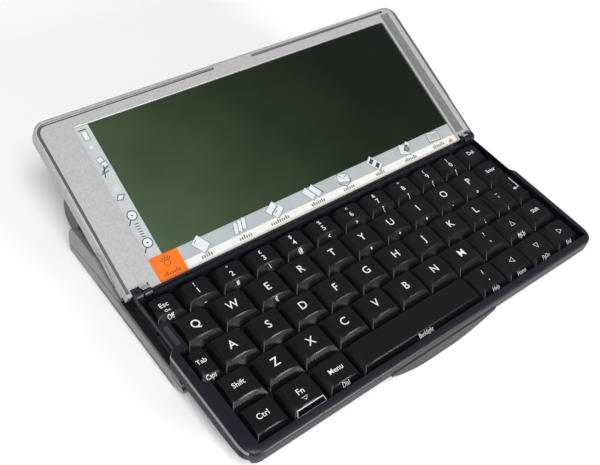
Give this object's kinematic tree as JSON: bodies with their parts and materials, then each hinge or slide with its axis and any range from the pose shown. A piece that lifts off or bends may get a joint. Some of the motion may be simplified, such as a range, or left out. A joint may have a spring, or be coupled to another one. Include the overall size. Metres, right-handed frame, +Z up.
{
  "type": "personal digital assistant",
  "caption": "Clamshell handheld organiser: a full keyboard slides out on a base with a battery barrel as the landscape touchscreen lid opens and leans back.",
  "frame": {"origin": "on the surface it stands on, under the centre of the open object's box", "axes": "+X to the right along the hinge, +Y to the rear, +Z up"},
  "size_m": [0.17, 0.1336, 0.0395],
  "materials": {
    "silver_plastic": "fine metallic speckle, satin",
    "grey_plastic": "satin grey",
    "dark_plastic": "satin, blue-black",
    "key_plastic": "satin black",
    "steel": "bare",
    "pin_steel": "ground",
    "rubber": "matt",
    "cell_jacket": "printed film jacket, blank",
    "board_green": "solder mask",
    "membrane": "film",
    "ir_plastic": "dark red, see-through to infrared",
    "black_plastic": "moulded",
    "panel_film": "screen-printed touch film",
    "lcd_green": "dark green, unlit",
    "backlight": "white foil",
    "lamp": "light pipe"
  },
  "bodies": {
    "base": {"base_shell": "silver_plastic", "base_deck": "steel", "barrel_shell": "silver_plastic", "barrel_caps": "grey_plastic", "slide_rails": "steel", "rubber_feet": "rubber", "base_screws": "steel", "aa_cells": "cell_jacket", "battery_contacts": "steel", "backup_cell": "steel", "main_board": "board_green", "card_cage": "steel", "speaker": "black_plastic", "ir_window": "ir_plastic", "serial_socket": "black_plastic", "dc_jack": "black_plastic", "stylus_holder": "dark_plastic"},
    "keyboard": {"keyboard_case": "grey_plastic", "keyboard_tray": "dark_plastic", "key_guide_plate": "steel", "key_membrane": "membrane", "status_lamp": "lamp", "front_foot": "rubber", "hinge_pins": "pin_steel"},
    "lid": {"lid_cover": "silver_plastic", "lid_bezel": "silver_plastic", "touch_panel": "panel_film", "lcd_panel": "lcd_green", "backlight_sheet": "backlight", "display_board": "board_green"},
    "battery_door": {"battery_door": "silver_plastic"},
    "memory_card_door": {"memory_card_door": "silver_plastic"},
    "backup_cell_cap": {"backup_cell_cap": "grey_plastic"},
    "stylus": {"stylus": "grey_plastic"},
    "voice_buttons": {"voice_buttons": "grey_plastic"},
    "key_esc": {"key_esc": "key_plastic"},
    "keys_1_to_5": {"keys_1_to_5": "key_plastic"},
    "keys_6_to_0": {"keys_6_to_0": "key_plastic"},
    "key_delete": {"key_delete": "key_plastic"},
    "keys_q_to_t": {"keys_q_to_t": "key_plastic"},
    "keys_y_to_p": {"keys_y_to_p": "key_plastic"},
    "key_enter": {"key_enter": "key_plastic"},
    "key_tab": {"key_tab": "key_plastic"},
    "keys_a_to_g": {"keys_a_to_g": "key_plastic"},
    "keys_h_to_l": {"keys_h_to_l": "key_plastic"},
    "key_apostrophe": {"key_apostrophe": "key_plastic"},
    "key_shift_left": {"key_shift_left": "key_plastic"},
    "keys_z_to_b": {"keys_z_to_b": "key_plastic"},
    "keys_n_to_m": {"keys_n_to_m": "key_plastic"},
    "key_comma": {"key_comma": "key_plastic"},
    "key_up": {"key_up": "key_plastic"},
    "key_shift_right": {"key_shift_right": "key_plastic"},
    "key_ctrl": {"key_ctrl": "key_plastic"},
    "key_fn": {"key_fn": "key_plastic"},
    "key_menu": {"key_menu": "key_plastic"},
    "key_space": {"key_space": "key_plastic"},
    "key_period": {"key_period": "key_plastic"},
    "key_left": {"key_left": "key_plastic"},
    "key_down": {"key_down": "key_plastic"},
    "key_right": {"key_right": "key_plastic"}
  },
  "joints": [
    {"name": "keyboard_slide", "type": "slide", "parent": "base", "child": "keyboard", "axis": [0, 1, 0], "range_m": [0, 0.03]},
    {"name": "lid_hinge", "type": "hinge", "parent": "keyboard", "child": "lid", "pos_m": [0, 0.00062, 0.0144], "axis": [1, 0, 0], "range_deg": [0, 158.5]},
    {"name": "battery_door_hinge", "type": "hinge", "parent": "base", "child": "battery_door", "pos_m": [0, 0.05096, 0.00552], "axis": [-1, 0, 0], "range_deg": [0, 95]},
    {"name": "memory_card_door_hinge", "type": "hinge", "parent": "base", "child": "memory_card_door", "pos_m": [-0.0842, 0.00062, 0.0019], "axis": [0, -1, 0], "range_deg": [0, 88]},
    {"name": "stylus_slide", "type": "slide", "parent": "base", "child": "stylus", "axis": [1, 0, 0], "range_m": [0, 0.088]},
    {"name": "backup_cell_cap_turn", "type": "hinge", "parent": "base", "child": "backup_cell_cap", "pos_m": [0.05, -0.01138, 0.0008], "axis": [0, 0, 1], "range_deg": [0, 60]},
    {"name": "voice_buttons_press", "type": "slide", "parent": "lid", "child": "voice_buttons", "axis": [0, -0.3665, 0.9304], "range_m": [0, 0.0005], "stiffness_N_per_m": 800},
    {"name": "key_esc_press", "type": "slide", "parent": "keyboard", "child": "key_esc", "axis": [0, 0, -1], "range_m": [0, 0.0012], "stiffness_N_per_m": 500},
    {"name": "keys_1_to_5_press", "type": "slide", "parent": "keyboard", "child": "keys_1_to_5", "axis": [0, 0, -1], "range_m": [0, 0.0012], "stiffness_N_per_m": 500},
    {"name": "keys_6_to_0_press", "type": "slide", "parent": "keyboard", "child": "keys_6_to_0", "axis": [0, 0, -1], "range_m": [0, 0.0012], "stiffness_N_per_m": 500},
    {"name": "key_delete_press", "type": "slide", "parent": "keyboard", "child": "key_delete", "axis": [0, 0, -1], "range_m": [0, 0.0012], "stiffness_N_per_m": 500},
    {"name": "keys_q_to_t_press", "type": "slide", "parent": "keyboard", "child": "keys_q_to_t", "axis": [0, 0, -1], "range_m": [0, 0.0012], "stiffness_N_per_m": 500},
    {"name": "keys_y_to_p_press", "type": "slide", "parent": "keyboard", "child": "keys_y_to_p", "axis": [0, 0, -1], "range_m": [0, 0.0012], "stiffness_N_per_m": 500},
    {"name": "key_enter_press", "type": "slide", "parent": "keyboard", "child": "key_enter", "axis": [0, 0, -1], "range_m": [0, 0.0012], "stiffness_N_per_m": 500},
    {"name": "key_tab_press", "type": "slide", "parent": "keyboard", "child": "key_tab", "axis": [0, 0, -1], "range_m": [0, 0.0012], "stiffness_N_per_m": 500},
    {"name": "keys_a_to_g_press", "type": "slide", "parent": "keyboard", "child": "keys_a_to_g", "axis": [0, 0, -1], "range_m": [0, 0.0012], "stiffness_N_per_m": 500},
    {"name": "keys_h_to_l_press", "type": "slide", "parent": "keyboard", "child": "keys_h_to_l", "axis": [0, 0, -1], "range_m": [0, 0.0012], "stiffness_N_per_m": 500},
    {"name": "key_apostrophe_press", "type": "slide", "parent": "keyboard", "child": "key_apostrophe", "axis": [0, 0, -1], "range_m": [0, 0.0012], "stiffness_N_per_m": 500},
    {"name": "key_shift_left_press", "type": "slide", "parent": "keyboard", "child": "key_shift_left", "axis": [0, 0, -1], "range_m": [0, 0.0012], "stiffness_N_per_m": 500},
    {"name": "keys_z_to_b_press", "type": "slide", "parent": "keyboard", "child": "keys_z_to_b", "axis": [0, 0, -1], "range_m": [0, 0.0012], "stiffness_N_per_m": 500},
    {"name": "keys_n_to_m_press", "type": "slide", "parent": "keyboard", "child": "keys_n_to_m", "axis": [0, 0, -1], "range_m": [0, 0.0012], "stiffness_N_per_m": 500},
    {"name": "key_comma_press", "type": "slide", "parent": "keyboard", "child": "key_comma", "axis": [0, 0, -1], "range_m": [0, 0.0012], "stiffness_N_per_m": 500},
    {"name": "key_up_press", "type": "slide", "parent": "keyboard", "child": "key_up", "axis": [0, 0, -1], "range_m": [0, 0.0012], "stiffness_N_per_m": 500},
    {"name": "key_shift_right_press", "type": "slide", "parent": "keyboard", "child": "key_shift_right", "axis": [0, 0, -1], "range_m": [0, 0.0012], "stiffness_N_per_m": 500},
    {"name": "key_ctrl_press", "type": "slide", "parent": "keyboard", "child": "key_ctrl", "axis": [0, 0, -1], "range_m": [0, 0.0012], "stiffness_N_per_m": 500},
    {"name": "key_fn_press", "type": "slide", "parent": "keyboard", "child": "key_fn", "axis": [0, 0, -1], "range_m": [0, 0.0012], "stiffness_N_per_m": 500},
    {"name": "key_menu_press", "type": "slide", "parent": "keyboard", "child": "key_menu", "axis": [0, 0, -1], "range_m": [0, 0.0012], "stiffness_N_per_m": 500},
    {"name": "key_space_press", "type": "slide", "parent": "keyboard", "child": "key_space", "axis": [0, 0, -1], "range_m": [0, 0.0012], "stiffness_N_per_m": 500},
    {"name": "key_period_press", "type": "slide", "parent": "keyboard", "child": "key_period", "axis": [0, 0, -1], "range_m": [0, 0.0012], "stiffness_N_per_m": 500},
    {"name": "key_left_press", "type": "slide", "parent": "keyboard", "child": "key_left", "axis": [0, 0, -1], "range_m": [0, 0.0012], "stiffness_N_per_m": 500},
    {"name": "key_down_press", "type": "slide", "parent": "keyboard", "child": "key_down", "axis": [0, 0, -1], "range_m": [0, 0.0012], "stiffness_N_per_m": 500},
    {"name": "key_right_press", "type": "slide", "parent": "keyboard", "child": "key_right", "axis": [0, 0, -1], "range_m": [0, 0.0012], "stiffness_N_per_m": 500}
  ],
  "couplings": [
    {"joint": "keyboard_slide", "follows": "lid_hinge", "m_per_rad": 0.01084}
  ]
}
